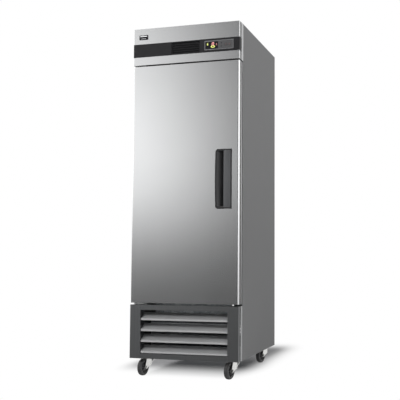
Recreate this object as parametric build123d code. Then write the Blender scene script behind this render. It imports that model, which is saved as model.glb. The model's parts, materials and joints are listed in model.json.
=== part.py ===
from build123d import *
import math
import os

# One-door reach-in refrigerator on casters, built as separate named pieces.
#
# Row frame: X across the front (the door handle is at +X), Y from the door to the back, Z up.
# The origin is on the floor under the middle of the cabinet. All lengths are in millimetres.

# ---------------------------------------------------------------- driving dimensions
cabinet_width = 685.0
overall_depth = 800.0
overall_height = 2110.0
wheel_radius = 50.0
caster_height = 2 * wheel_radius + 26.0  # floor to the face of the mounting plate
skirt_height = caster_height - 18.0  # floor to the lower edge of the panels

sheet = 1.2  # stainless and galvanised sheet
wall = 56.0  # insulated wall, sheet to sheet
seam = 1.5  # open joint between neighbouring sheets
touch = 0.3  # air between faces of different moving bodies

header_height = 227.0
grille_height = 318.0
door_gap_top = 9.0
door_gap_bottom = 11.0
door_thickness = 56.0
gasket_depth = 12.0
grip_proud = 4.0  # handle grip in front of the door face
screw_proud = 2.4  # screw heads behind the back panel
post_depth = 30.0  # corner post behind the header and the grille

# ---------------------------------------------------------------- planes worked out from them
left = -cabinet_width / 2
right = cabinet_width / 2
back = overall_depth / 2 - screw_proud
face = -overall_depth / 2 + grip_proud  # front face of door, header and grille
body_front = face + door_thickness + gasket_depth
top = overall_height
header_bottom = top - header_height
door_top = header_bottom - door_gap_top
grille_top = skirt_height + grille_height
door_bottom = grille_top + door_gap_bottom

# storage compartment, measured inside the liner
sill = 50.0  # how far the opening stays inside the door's outline
inner_left = left + wall
inner_right = right - wall
inner_front = body_front + sheet
inner_back = back - wall
opening_bottom = door_bottom + sill
opening_top = door_top - sill
inner_floor = opening_bottom
inner_top = top - wall


def block(x0, x1, y0, y1, z0, z1):
    """A box between two corners."""
    return Pos((x0 + x1) / 2, (y0 + y1) / 2, (z0 + z1) / 2) * Box(x1 - x0, y1 - y0, z1 - z0)


def rod(start, end, radius):
    """A round bar from one point to another."""
    a, b = Vector(*start), Vector(*end)
    return Solid.make_cylinder(radius, (b - a).length, Plane(a, z_dir=b - a))


def prism(points, plane, length):
    """A polygon, drawn in a plane, pushed along the plane's normal."""
    outline = plane * Polygon(*points, align=None)
    return extrude(outline, length, dir=plane.z_dir)


def group(pieces):
    """Several separate solids that share one node."""
    return Compound(children=[solid for piece in pieces for solid in piece.solids()])


def bent_tube(points, radius, bend):
    """A round tube along straight runs that are joined by arcs."""
    path = FilletPolyline(*points, radius=bend)
    section = Plane(path @ 0, z_dir=path % 0) * Circle(radius)
    return sweep(section, path)


# ---------------------------------------------------------------- outer shell
machine_roof = inner_floor - wall  # underside of the insulated floor
flange = 18.0


def side_panels():
    """Two flat side sheets, each with a fold at its front edge that laps the front frame."""
    panels = []
    for outer, inward in ((left, 1), (right, -1)):
        inner = outer + inward * sheet
        x0, x1 = sorted((outer, inner))
        skin = block(x0, x1, body_front + seam, back, skirt_height, top - sheet)
        f0, f1 = sorted((inner, inner + inward * flange))
        fold_y = body_front + sheet + post_depth
        fold = block(f0, f1, fold_y, fold_y + sheet, deck_top, machine_roof)
        panels.append(skin + fold)
    return group(panels)


def top_panel():
    return block(left, right, body_front + seam, back, top - sheet, top)


def back_panel():
    return block(left + sheet, right - sheet, back - sheet, back, machine_roof, top - sheet)


def front_frame():
    """Stiles, head and sill that the gasket seals on, and the posts beside header and grille."""
    y0, y1 = body_front, body_front + sheet
    stile_left = block(left, inner_left, y0, y1, opening_bottom, opening_top)
    stile_right = block(inner_right, right, y0, y1, opening_bottom, opening_top)
    head = block(left, right, y0, y1, opening_top, top - sheet)
    lower = block(left, right, y0, y1, machine_roof, opening_bottom)
    posts = []
    for outer, inward in ((left, 1), (right, -1)):
        x0, x1 = sorted((outer, outer + inward * sheet))
        for z0, z1 in ((skirt_height, grille_top), (header_bottom, top)):
            posts.append(block(x0, x1, body_front - post_depth, body_front, z0, z1))
    return group([stile_left, stile_right, head, lower, *posts])


def insulation():
    """Foamed walls between the outer sheets and the liner, one slab for each wall."""
    x0, x1 = left + sheet, right - sheet
    y0, y1 = body_front + sheet, back - sheet
    in_left, in_right = inner_left - sheet, inner_right + sheet
    in_back = inner_back + sheet
    z0, z1 = machine_roof + sheet, top - sheet
    floor_top, roof = inner_floor - sheet, inner_top + sheet
    return group(
        [
            block(x0, in_left, y0, y1, z0, z1),
            block(in_right, x1, y0, y1, z0, z1),
            block(in_left, in_right, in_back, y1, z0, z1),
            block(in_left, in_right, y0, in_back, roof, z1),
            block(in_left, in_right, y0, in_back, z0, floor_top),
            block(inner_left, inner_right, y0, y0 + wall, opening_top, roof),
        ]
    )


def liner():
    """Stainless lining of the storage space: sides, back, ceiling, floor and the head's lining."""
    s = sheet
    head_back = inner_front + wall
    return group(
        [
            block(inner_left - s, inner_left, inner_front, inner_back + s, inner_floor - s, inner_top),
            block(inner_right, inner_right + s, inner_front, inner_back + s, inner_floor - s, inner_top),
            block(inner_left, inner_right, inner_back, inner_back + s, inner_floor - s, inner_top),
            block(inner_left - s, inner_right + s, head_back + s, inner_back + s, inner_top, inner_top + s),
            block(inner_left, inner_right, inner_front, inner_back, inner_floor - s, inner_floor),
            block(inner_left, inner_right, head_back, head_back + s, opening_top, inner_top),
        ]
    )


def machine_deck():
    """Galvanised sheet under the insulated floor: the machine compartment's ceiling."""
    y0 = body_front + sheet
    return block(left + sheet, right - sheet, y0, back - sheet, machine_roof, machine_roof + sheet)


# ---------------------------------------------------------------- casters
wheel_width = 31.0
caster_trail = 36.0
caster_inset_x = 68.0
caster_inset_front = 88.0  # swivel axis behind the front face
caster_inset_back = 54.0
plate_thickness = 4.0
plate_size = (84.0, 76.0)
fork_thickness = 3.0
fork_gap = 2.5  # air beside the wheel
axle_radius = 5.0
kingpin_radius = 6.0
race_radius = 25.0
race_height = 8.0
running = 0.05  # radial clearance of a running fit
plate_bolt_radius = 4.0
plate_bolt_head = 4.5
plate_bolt_spread = (62.0, 54.0)
base_pan_thickness = 2.0
base_rim = 14.0

# each caster: name, side in X, end in Y and the angle that it has swung to, in degrees
casters = (
    ("front_left", -1, -1, -5.0),
    ("front_right", 1, -1, -8.0),
    ("rear_left", -1, 1, 12.0),
    ("rear_right", 1, 1, -9.0),
)


def caster_axis(side, end):
    """Where a caster's swivel axis meets the floor."""
    x = side * (cabinet_width / 2 - caster_inset_x)
    y = face + caster_inset_front if end < 0 else back - caster_inset_back
    return x, y


def caster_plates():
    """Mounting plate with its upper ball race and kingpin, and four bolts, for each caster."""
    top_z, under_z = caster_height, caster_height - plate_thickness
    pieces = []
    for _, side, end, _ in casters:
        x, y = caster_axis(side, end)
        plate = Pos(x, y, (top_z + under_z) / 2) * Box(*plate_size, plate_thickness)
        plate = fillet(plate.edges().filter_by(Axis.Z), 8)
        pin = rod((x, y, under_z - race_height - fork_thickness - 5), (x, y, under_z), kingpin_radius)
        race = rod((x, y, under_z - 2.5), (x, y, under_z), race_radius)
        for sx in (-1, 1):
            for sy in (-1, 1):
                bx = x + sx * plate_bolt_spread[0] / 2
                by = y + sy * plate_bolt_spread[1] / 2
                plate -= rod((bx, by, under_z - 1), (bx, by, top_z + 1), plate_bolt_radius + 0.3)
                head = Pos(bx, by, under_z - plate_bolt_head) * extrude(
                    RegularPolygon(plate_bolt_radius * 1.75, 6), plate_bolt_head
                )
                shank = rod((bx, by, under_z), (bx, by, top_z + base_pan_thickness + 6), plate_bolt_radius)
                pieces.append(head + shank)
        pieces.append(plate + race + pin)
    return group(pieces)


def caster_local(side, end, angle):
    """Carries a caster, drawn with its axis at the origin and its wheel toward -Y, to its place."""
    x, y = caster_axis(side, end)
    return Pos(x, y, 0) * Rot(0, 0, angle)


def fork(braked):
    """Pressed fork: lower ball race, crown, two tapering legs, and the axle bolt with its nut."""
    crown_top = caster_height - plate_thickness - 2.5 - touch
    race_low = crown_top - race_height
    crown_low = race_low - fork_thickness
    inner = wheel_width / 2 + fork_gap
    outer = inner + fork_thickness
    race = rod((0, 0, race_low), (0, 0, crown_top), race_radius)
    race = chamfer(race.edges().group_by(Axis.Z)[0], 2.5)
    crown = block(-outer, outer, -24, 24, crown_low, race_low)
    crown += rod((0, 0, crown_low), (0, 0, race_low), 24)
    body = race + crown
    for sx in (-1, 1):
        x0 = inner if sx > 0 else -outer
        leg = prism(
            [(-24, crown_low + 0.5), (-caster_trail - 11, wheel_radius), (-caster_trail, wheel_radius - 12),
             (-caster_trail + 12, wheel_radius - 5), (wheel_radius - 24, wheel_radius + 6),
             (wheel_radius - 21, wheel_radius + 18), (24, crown_low + 0.5)],
            Plane.YZ.offset(x0),
            fork_thickness,
        )
        body += leg
    body -= rod((0, 0, crown_low - 8), (0, 0, crown_top + 1), kingpin_radius + running)
    hub_line = (-caster_trail, wheel_radius)
    body -= rod((-outer - 1, *hub_line), (outer + 1, *hub_line), axle_radius + 0.02)
    if braked:
        body -= rod((-outer - 1, *brake_pivot), (outer + 1, *brake_pivot), brake_pin_radius + 0.02)
    bolt = rod((-outer - 2, *hub_line), (outer + 9, *hub_line), axle_radius)
    hexagon = RegularPolygon(9, 6)
    head = extrude(Plane((-outer - 5.5, *hub_line), z_dir=(1, 0, 0)) * hexagon, 5.5)
    nut = extrude(Plane((outer, *hub_line), z_dir=(1, 0, 0)) * hexagon, 6)
    nut -= rod((outer - 1, *hub_line), (outer + 8, *hub_line), axle_radius)
    return [body, bolt + head, nut]


def wheel():
    """Wheel centre with a hub and a web, and the rubber tyre bonded round it."""
    half = wheel_width / 2
    tyre_inner = wheel_radius - 13
    hub_radius = 14.0
    bore = axle_radius + running
    place = Plane((0, -caster_trail, wheel_radius), x_dir=(0, 1, 0), z_dir=(1, 0, 0))
    core_profile = Plane.XZ * Polygon(
        (bore, -half), (hub_radius, -half), (hub_radius, -4), (tyre_inner - 4, -4),
        (tyre_inner - 4, -half + 2), (tyre_inner, -half + 2), (tyre_inner, half - 2),
        (tyre_inner - 4, half - 2), (tyre_inner - 4, 4), (hub_radius, 4), (hub_radius, half),
        (bore, half), align=None,
    )
    tyre_profile = Plane.XZ * Polygon(
        (tyre_inner, -half + 2), (wheel_radius - 5, -half + 2), (wheel_radius - 1.2, -half + 6),
        (wheel_radius, 0), (wheel_radius - 1.2, half - 6), (wheel_radius - 5, half - 2),
        (tyre_inner, half - 2), align=None,
    )
    core = revolve(core_profile, Axis.Z)
    tyre = revolve(tyre_profile, Axis.Z)
    return [place.location * core, place.location * tyre]


# foot brake of the front casters, in the caster's own axes (Y, Z)
brake_pin_radius = 3.0
brake_pivot = (wheel_radius - 31.0, wheel_radius + 14.0)
brake_width = 2 * (wheel_width / 2 + fork_gap) - 2.0
brake_travel_deg = 12.0


def brake_pedal():
    """Pedal that swings on a pin through the fork, with its shoe facing the tread."""
    y, z = brake_pivot
    half = brake_width / 2
    barrel = rod((-half, y, z), (half, y, z), 5)
    arm = prism(
        [(y, z - 4.5), (y + 30, z + 10), (y + 50, z + 20), (y + 52, z + 25), (y + 28, z + 13.5), (y, z + 1)],
        Plane.YZ.offset(-half),
        brake_width,
    )
    shoe = prism(
        [(y - 2, z - 3), (y - 2, z - 13), (y + 4, z - 13), (y + 5, z - 2)],
        Plane.YZ.offset(-half + 2),
        brake_width - 4,
    )
    pedal = barrel + arm + shoe
    pedal -= rod((-half - 1, y, z), (half + 1, y, z), brake_pin_radius + running)
    return [pedal]


def brake_pin():
    y, z = brake_pivot
    reach = wheel_width / 2 + fork_gap + fork_thickness + 1.5
    return rod((-reach, y, z), (reach, y, z), brake_pin_radius)


def base_pan():
    """Heavy base sheet with turned-down rims, drilled for the caster bolts."""
    z0 = caster_height
    x0, x1, y0, y1 = left + sheet, right - sheet, body_front + sheet, back - sheet
    deck_front = face + grille_return + 2
    pan = block(x0, x1, deck_front, y1, z0, z0 + base_pan_thickness)
    for ya in (y1 - base_pan_thickness, deck_front):
        pan += block(x0, x1, ya, ya + base_pan_thickness, z0 - base_rim, z0)
    for _, side, end, _ in casters:
        x, y = caster_axis(side, end)
        for sx in (-1, 1):
            for sy in (-1, 1):
                bx = x + sx * plate_bolt_spread[0] / 2
                by = y + sy * plate_bolt_spread[1] / 2
                pan -= rod((bx, by, z0 - 1), (bx, by, z0 + base_pan_thickness + 1), plate_bolt_radius + 0.3)
    return pan


# ---------------------------------------------------------------- front grille
grille_post = 68.0
grille_rail = 30.0
grille_return = 26.0
louvre_count = 4
louvre_depth = 58.0
louvre_rise = 33.0
louvre_lip = 10.0
grille_inner = cabinet_width / 2 - grille_post
grille_open_low = skirt_height + grille_rail
grille_open_high = grille_top - grille_rail
louvre_pitch = (grille_open_high - grille_open_low) / louvre_count


def grille_frame():
    """Two posts and two rails, each a folded channel."""
    y0, y1 = face, face + grille_return
    deep = face + louvre_depth + 4
    members = []
    for outer, inward in ((left, 1), (right, -1)):
        inner = outer + inward * grille_post
        x0, x1 = sorted((outer, inner))
        post = block(x0, x1, y0, y1, skirt_height, grille_top)
        post -= block(x0 + sheet, x1 - sheet, y0 + sheet, y1 + 1, skirt_height + sheet, grille_top - sheet)
        w0, w1 = sorted((inner, inner - inward * sheet))
        post += block(w0, w1, y0, deep, grille_open_low, grille_open_high)
        round_edge = post.edges().filter_by(Axis.Z).group_by(Axis.Y)[0]
        edge_x = min(round_edge, key=lambda e: abs(e.center().X - outer))
        members.append(fillet(edge_x, sheet * 0.9))
    x0, x1 = -grille_inner + 0.4, grille_inner - 0.4
    rail_face = face + 1.5
    for z0, z1 in ((skirt_height, grille_open_low), (grille_open_high, grille_top)):
        rail = block(x0, x1, rail_face, y1, z0, z1)
        rail -= block(x0 - 1, x1 + 1, rail_face + sheet, y1 + 1, z0 + sheet, z1 - sheet)
        members.append(rail)
    return group(members)


def grille_louvres():
    """Sloping blades, each a sheet folded down into a lip at its front edge."""
    thick = 1.5
    x0 = -grille_inner + sheet + 0.4
    blades = []
    for n in range(louvre_count):
        z = grille_open_low + 3 + louvre_lip + n * louvre_pitch
        y = face + 4
        blade = prism(
            [(y, z), (y + louvre_depth - 6, z + louvre_rise), (y + louvre_depth - 6, z + louvre_rise - thick),
             (y + thick, z - thick), (y + thick, z - louvre_lip), (y, z - louvre_lip)],
            Plane.YZ.offset(x0),
            -2 * x0,
        )
        blades.append(blade)
    return group(blades)


# ---------------------------------------------------------------- header
band_height = 81.0
band_low = header_bottom + 50.0
band_high = band_low + band_height
band_channel = 12.0
band_proud = 1.5
band_wrap = door_thickness + gasket_depth - post_depth  # how far the band runs back on each side
vent_half = 92.0
vent_trim = 4.5
controller_width = 183.0
controller_height = 57.0
controller_right = right - 38.0
controller_left = controller_right - controller_width
controller_z = (band_low + band_high) / 2
controller_proud = 1.2


def header_shell():
    """Stainless header box: a channel across it takes the black band, its top runs back to the cabinet."""
    x0, x1 = left + band_proud, right - band_proud
    y0, y1 = face, body_front - post_depth
    box = block(x0, x1, y0, y1, header_bottom, top)
    inside = block(x0 + sheet, x1 - sheet, y0 + sheet, y1 + 1, header_bottom + sheet, top - sheet)
    channel = block(x0 - 1, x1 + 1, y0 - 1, y0 + band_channel, band_low, band_high)
    channel_back = block(
        x0 - 1, x1 + 1, y0 - 1, y0 + band_channel + sheet, band_low - sheet, band_high + sheet
    )
    front = box.edges().filter_by(Axis.Z).group_by(Axis.Y)[0]
    box = fillet(front, 3)
    roof = block(left + 2 * sheet, right - 2 * sheet, y1 - 1, body_front, top - sheet, top)
    skin = box - (inside - channel_back) - channel + roof
    cut = block(
        controller_left + 8, controller_right - 8, y0, y0 + band_channel + sheet + 1,
        controller_z - controller_height / 2 + 6, controller_z + controller_height / 2 - 6,
    )
    return skin - cut


def fascia_band():
    """Moulded black band across the header; its ends run back along both sides."""
    y0, y1 = face - band_proud, face + band_channel
    band = block(left, right, y0, y1, band_low, band_high)
    band = fillet(band.edges().filter_by(Axis.Z).group_by(Axis.Y)[0], 2.0)
    for outer, inward in ((left, 1), (right, -1)):
        w0, w1 = sorted((outer, outer + inward * band_proud))
        band += block(w0, w1, y1 - 0.5, face + band_wrap, band_low, band_high)
    vent_hole = block(-vent_half, vent_half, y0 - 1, y1 + 1, band_low + vent_trim, band_high - vent_trim)
    # the band's edge steps in above and below the vent
    for z0, z1 in ((band_low - 1, band_low + 2.5), (band_high - 2.5, band_high + 1)):
        band -= block(-vent_half, vent_half, y0 - 1, face, z0, z1)
    half = controller_height / 2
    seat = block(controller_left, controller_right, y0 - 1, y1 + 1, controller_z - half, controller_z + half)
    return band - vent_hole - seat


vent_ribs = 5


def fascia_vent():
    """Ribbed insert in the middle of the band."""
    y0, y1 = face + 1.5, face + band_channel
    z0, z1 = band_low + vent_trim, band_high - vent_trim
    insert = block(-vent_half, vent_half, y0, y1, z0, z1)
    pitch = (z1 - z0 - 4) / vent_ribs
    for n in range(vent_ribs):
        low = z0 + 4 + n * pitch
        insert -= block(-vent_half + 5, vent_half - 5, y0 - 1, y0 + 6, low, low + pitch - 4)
    return insert


display_width = 80.0
display_height = 43.0
display_depth = 3.0
key_radius = 8.0
key_travel = 1.2
key_spacing = 24.0
key_gap = 0.4
key_right_x = controller_right - 25.0


def key_centres():
    return (("light", key_right_x - key_spacing), ("power", key_right_x))


def controller_bezel():
    """Grey front of the thermostat and the housing behind it."""
    half = controller_height / 2
    y0 = face - band_proud - controller_proud
    y1 = face + band_channel
    plate = block(controller_left + 0.2, controller_right - 0.2, y0, y1,
                  controller_z - half + 0.2, controller_z + half - 0.2)
    plate = fillet(plate.edges().filter_by(Axis.Y), 4)
    plate = fillet(plate.faces().sort_by(Axis.Y)[0].edges(), 0.8)
    housing = block(controller_left + 10, controller_right - 10, y1, y1 + 22,
                    controller_z - half + 8, controller_z + half - 8)
    body = plate + housing
    window_x0 = controller_left + 6
    body -= block(window_x0, window_x0 + display_width, y0 - 1, y0 + display_depth,
                  controller_z - display_height / 2, controller_z + display_height / 2)
    for _, x in key_centres():
        body -= rod((x, y0 - 1, controller_z), (x, y0 + 7, controller_z), key_radius + key_gap)
    return body


def display_window():
    """Dark glass over the temperature display."""
    y0 = face - band_proud - controller_proud
    x0 = controller_left + 6
    return block(x0, x0 + display_width, y0 + 0.4, y0 + display_depth,
                 controller_z - display_height / 2, controller_z + display_height / 2)


def key(x):
    """One round press key of the thermostat."""
    y0 = face - band_proud - controller_proud
    cap = rod((x, y0 - 1.0, controller_z), (x, y0 + 5.5, controller_z), key_radius)
    return fillet(cap.edges().group_by(Axis.Y)[0], 0.8)


badge_width = 58.0
badge_height = 29.0
badge_x = left + 66.0
badge_z = top - 54.0


def badge_plate():
    """Plain badge at the left of the header."""
    plate = block(badge_x - badge_width / 2, badge_x + badge_width / 2, face - 2.0, face,
                  badge_z - badge_height / 2, badge_z + badge_height / 2)
    plate = fillet(plate.edges().filter_by(Axis.Y), 3)
    return plate


# ---------------------------------------------------------------- door
door_side_gap = 1.0
door_left = left + door_side_gap
door_right = right - door_side_gap
door_back = face + door_thickness
skin_return = 24.0
strip_depth = 16.0
pan_return = door_thickness - skin_return - strip_depth
door_edge_radius = 9.0
strip_inset = 0.6
handle_width = 106.0
handle_height = 354.0
handle_from_edge = 44.0
handle_z = skirt_height + 1062.0
handle_depth = 42.0
handle_flange = 5.0
handle_right = door_right - handle_from_edge
handle_left = handle_right - handle_width
grip_width = 50.0
cup_wall = 3.0
hinge_from_edge = 28.0
hinge_x = left + hinge_from_edge
hinge_y = face + door_thickness / 2
hinge_pin_radius = 6.0
bush_radius = 10.0
bush_length = 30.0
bush_flange = 2.0


def handle_cutout(y0, y1, grow=0.0):
    """The rectangular hole that the handle cup passes through."""
    g = handle_flange - grow
    return block(handle_left + g, handle_right - g, y0, y1,
                 handle_z - handle_height / 2 + g, handle_z + handle_height / 2 - g)


def bush_seat(z0, z1, radius):
    return rod((hinge_x, hinge_y, z0), (hinge_x, hinge_y, z1), radius)


def door_skin():
    """Outer stainless pan of the door, with rounded upright edges."""
    y1 = face + skin_return
    pan = block(door_left, door_right, face, y1, door_bottom, door_top)
    uprights = pan.edges().filter_by(Axis.Z).group_by(Axis.Y)[0]
    pan = fillet(uprights, door_edge_radius)
    inside = block(door_left + sheet, door_right - sheet, face + sheet, y1 + 1,
                   door_bottom + sheet, door_top - sheet)
    uprights = inside.edges().filter_by(Axis.Z).group_by(Axis.Y)[0]
    inside = fillet(uprights, door_edge_radius - sheet)
    pan -= inside
    for z0, z1 in ((door_bottom - 1, door_bottom + 2 * sheet), (door_top - 2 * sheet, door_top + 1)):
        pan -= bush_seat(z0, z1, bush_radius)
    return pan - handle_cutout(face - 1, face + 2 * sheet)


def door_edge_strip():
    """Black plastic thermal break round the door between the outer pan and the liner."""
    y0, y1 = face + skin_return, door_back - pan_return
    ring = block(door_left + strip_inset, door_right - strip_inset, y0, y1,
                 door_bottom + strip_inset, door_top - strip_inset)
    deep = strip_inset + 8
    ring -= block(door_left + deep, door_right - deep, y0 - 1, y1 + 1,
                  door_bottom + deep, door_top - deep)
    for z0, z1 in ((door_bottom, door_bottom + deep + 1), (door_top - deep - 1, door_top)):
        ring -= bush_seat(z0, z1, bush_radius)
    return ring


recess_rim = 62.0
recess_depth = 9.0


def door_liner():
    """Inner door sheet: a return round the edge and a shallow pressed recess."""
    y0 = door_back - pan_return
    pan = block(door_left, door_right, y0, door_back, door_bottom, door_top)
    pan = fillet(pan.edges().filter_by(Axis.Z).group_by(Axis.Y)[-1], 3)
    r = recess_rim
    pan -= block(door_left + r, door_right - r, door_back - recess_depth, door_back + 1,
                 door_bottom + r, door_top - r)
    inside = block(door_left + sheet, door_right - sheet, y0 - 1, door_back - sheet,
                   door_bottom + sheet, door_top - sheet)
    inside -= block(door_left + r - sheet, door_right - r + sheet, door_back - recess_depth - sheet,
                    door_back, door_bottom + r - sheet, door_top - r + sheet)
    pan -= inside
    for z0, z1 in ((door_bottom - 1, door_bottom + 2 * sheet), (door_top - 2 * sheet, door_top + 1)):
        pan -= bush_seat(z0, z1, bush_radius)
    return pan


def door_foam():
    """Foamed core of the door, cut away for the handle cup and the hinge bushes."""
    s = sheet
    edge = door_edge_radius
    front_half = block(door_left + edge, door_right - edge, face + s, face + skin_return,
                       door_bottom + s, door_top - s)
    deep = strip_inset + 8
    middle = block(door_left + deep, door_right - deep, face + skin_return, door_back - pan_return,
                   door_bottom + deep, door_top - deep)
    rear = block(door_left + s, door_right - s, door_back - pan_return,
                 door_back - recess_depth - s, door_bottom + s, door_top - s)
    foam = front_half + middle + rear
    foam -= handle_cutout(face, face + handle_depth + 0.5, grow=0.5)
    for z0, z1 in ((door_bottom, door_bottom + bush_length), (door_top - bush_length, door_top)):
        foam -= bush_seat(z0, z1, bush_radius)
    return foam


gasket_width = 17.0
gasket_inset = hinge_from_edge - door_side_gap + 1


def door_gasket():
    """Magnetic gasket: one ring with a bellows groove, held just clear of the front frame."""
    y0, y1 = door_back, body_front - touch
    g = gasket_inset
    ring = block(door_left + g, door_right - g, y0, y1, door_bottom + g, door_top - g)
    g2 = g + gasket_width
    ring -= block(door_left + g2, door_right - g2, y0 - 1, y1 + 1, door_bottom + g2, door_top - g2)
    g3 = g + 3.5
    middle = (y0 + y1) / 2
    groove = block(door_left + g - 1, door_right - g + 1, middle - 1.5, middle + 1.5,
                   door_bottom + g - 1, door_top - g + 1)
    groove -= block(door_left + g3, door_right - g3, middle - 2, middle + 2,
                    door_bottom + g3, door_top - g3)
    return ring - groove


def handle_outline(y0, y1, inset):
    """Handle outline: straight at the right, gently bowed at the left, corners cut there."""
    x0, x1 = handle_left + inset, handle_right - inset
    z0 = handle_z - handle_height / 2 + inset
    z1 = handle_z + handle_height / 2 - inset
    cut = 14.0
    bow = 3.5
    edge = Polyline((x0 + bow, z1 - cut), (x0 + bow + cut * 0.8, z1), (x1, z1), (x1, z0),
                    (x0 + bow + cut * 0.8, z0), (x0 + bow, z0 + cut))
    side = ThreePointArc((x0 + bow, z0 + cut), (x0, (z0 + z1) / 2), (x0 + bow, z1 - cut))
    outline = make_face([edge, side])
    plane = Plane((0, y1, 0), x_dir=(1, 0, 0), z_dir=(0, -1, 0))
    return extrude(plane * outline, y1 - y0)


def handle_cup():
    """Black moulded recess with a flange on the door face and a scooped pocket."""
    flange_front = face - 1.6
    rim = handle_outline(flange_front, face, 0)
    rim = fillet(rim.faces().sort_by(Axis.Y)[0].edges(), 1.0)
    g = handle_flange + 0.2
    z0 = handle_z - handle_height / 2 + g
    z1 = handle_z + handle_height / 2 - g
    tub = block(handle_left + g, handle_right - g, face, face + handle_depth, z0, z1)
    w = handle_flange + cup_wall
    floor_y = face + handle_depth - cup_wall
    x0, x1 = handle_left + w + 2, handle_right - w
    grip_x = handle_right - w - grip_width + 6
    pocket = prism(
        [(x0, flange_front - 1), (x0, face + 2), (x0 + 16, face + 22), (x0 + 34, floor_y - 3),
         (x0 + 46, floor_y), (x1, floor_y), (x1, flange_front - 1)],
        Plane.XY.offset(z0 + cup_wall),
        z1 - z0 - 2 * cup_wall,
    )
    return rim + tub - pocket


def handle_grip():
    """Flat pull plate over the right of the pocket, with a finger edge turned inward."""
    g = handle_flange + 0.2 + cup_wall
    w = handle_flange + cup_wall
    x1 = handle_right - w
    x0 = x1 - grip_width + 6
    z0 = handle_z - handle_height / 2 + g
    z1 = handle_z + handle_height / 2 - g
    y0 = face - grip_proud
    plate = block(x0, x1, y0, face + 4, z0, z1)
    lip = block(x0, x0 + 5, face + 4, face + 17, z0, z1)
    grip = plate + lip
    front_left = grip.edges().filter_by(Axis.Z).filter_by(
        lambda e: abs(e.center().X - x0) < 0.1 and abs(e.center().Y - y0) < 0.1
    )
    return fillet(front_left, 2.4)


def hinge_bushes():
    """Flanged plastic bushes in the top and the bottom of the door."""
    bore = hinge_pin_radius + running
    low = bush_seat(door_bottom, door_bottom + bush_length, bush_radius)
    low += bush_seat(door_bottom - bush_flange, door_bottom, bush_radius + 3)
    low -= bush_seat(door_bottom - bush_flange - 1, door_bottom + bush_length - 3, bore)
    high = bush_seat(door_top - bush_length, door_top, bush_radius)
    high += bush_seat(door_top, door_top + bush_flange, bush_radius + 3)
    high -= bush_seat(door_top - bush_length + 3, door_top + bush_flange + 1, bore)
    return group([low, high])


bracket_thickness = 5.0
bracket_reach = 62.0
bracket_margin = 13.0
bracket_upright = 34.0
bracket_plate = 3.0


def hinge_bracket(z_door, outward):
    """Angle bracket screwed to the front frame; its pin turns in the door's bush."""
    gap_face = z_door + outward * (bush_flange + touch)
    far = gap_face + outward * bracket_thickness
    z0, z1 = sorted((gap_face, far))
    y0 = hinge_y - bracket_margin
    x0 = hinge_x - bracket_margin
    x1 = x0 + bracket_reach
    arm = block(x0, x1, y0, body_front, z0, z1)
    arm = fillet(arm.edges().filter_by(Axis.Z).group_by(Axis.Y)[0], 10)
    t0, t1 = sorted((far, far + outward * bracket_upright))
    upright = block(x0, x1, body_front - bracket_plate, body_front, t0, t1)
    pin_end = z_door - outward * (bush_length - 6)
    pin = rod((hinge_x, hinge_y, far), (hinge_x, hinge_y, pin_end), hinge_pin_radius)
    return arm + upright + pin


# ---------------------------------------------------------------- inside the storage space
pilaster_width = 16.0
pilaster_depth = 6.0
pilaster_inset = 70.0
slot_pitch = 26.0
shelf_count = 3
clip_drop = 3.0
shelf_gap = 5.0  # air between shelf and pilaster
shelf_front_gap = 40.0
shelf_back_gap = 14.0
shelf_lift = 40.0
rim_radius = 3.5
wire_radius = 1.8
wire_pitch = 24.0
evaporator_height = 200.0
housing_bottom = inner_top - evaporator_height


def pilaster_places():
    y0, y1 = inner_front + pilaster_inset, inner_back - pilaster_inset
    return [(x, s, y) for x, s in ((inner_left, 1), (inner_right, -1)) for y in (y0, y1)]


pilaster_low = inner_floor + 40.0
pilaster_high = housing_bottom - 30.0


def shelf_levels():
    """Underside height of each shelf's rim, on the pilasters' slot pitch."""
    span = (housing_bottom - inner_floor) / (shelf_count + 1)
    steps = [round((span * (n + 1) - 40) / slot_pitch) for n in range(shelf_count)]
    return [pilaster_low + step * slot_pitch for step in steps]


def shelf_pilasters():
    """Four slotted standards that carry the shelf clips."""
    rails = []
    for x, s, y in pilaster_places():
        x0, x1 = sorted((x, x + s * pilaster_depth))
        half = pilaster_width / 2
        rail = block(x0, x1, y - half, y + half, pilaster_low - 16, pilaster_high)
        slots = []
        count = int((pilaster_high - pilaster_low - 10) / slot_pitch) + 1
        for n in range(count):
            z = pilaster_low + n * slot_pitch
            slots.append(block(x0 - 1, x1 + 1, y - 3, y + 3, z - 13, z - 5))
        rails.append(rail - slots)
    return group(rails)


def shelf_clips():
    """A clip under each corner of each shelf, hooked over the standard's face."""
    clips = []
    for level in shelf_levels():
        z = level - touch
        for x, s, y in pilaster_places():
            near = x + s * pilaster_depth
            x0, x1 = sorted((near, near + s * 2.0))
            t0, t1 = sorted((near, near + s * 20.0))
            plate = block(x0, x1, y - 7, y + 7, z - 18, z)
            tongue = block(t0, t1, y - 7, y + 7, z - clip_drop, z)
            h0, h1 = sorted((near, near - s * (pilaster_depth - 2)))
            hook = block(h0, h1, y - 2.5, y + 2.5, z - 12, z - 6)
            clips.append(plate + tongue + hook)
    return group(clips)


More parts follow.
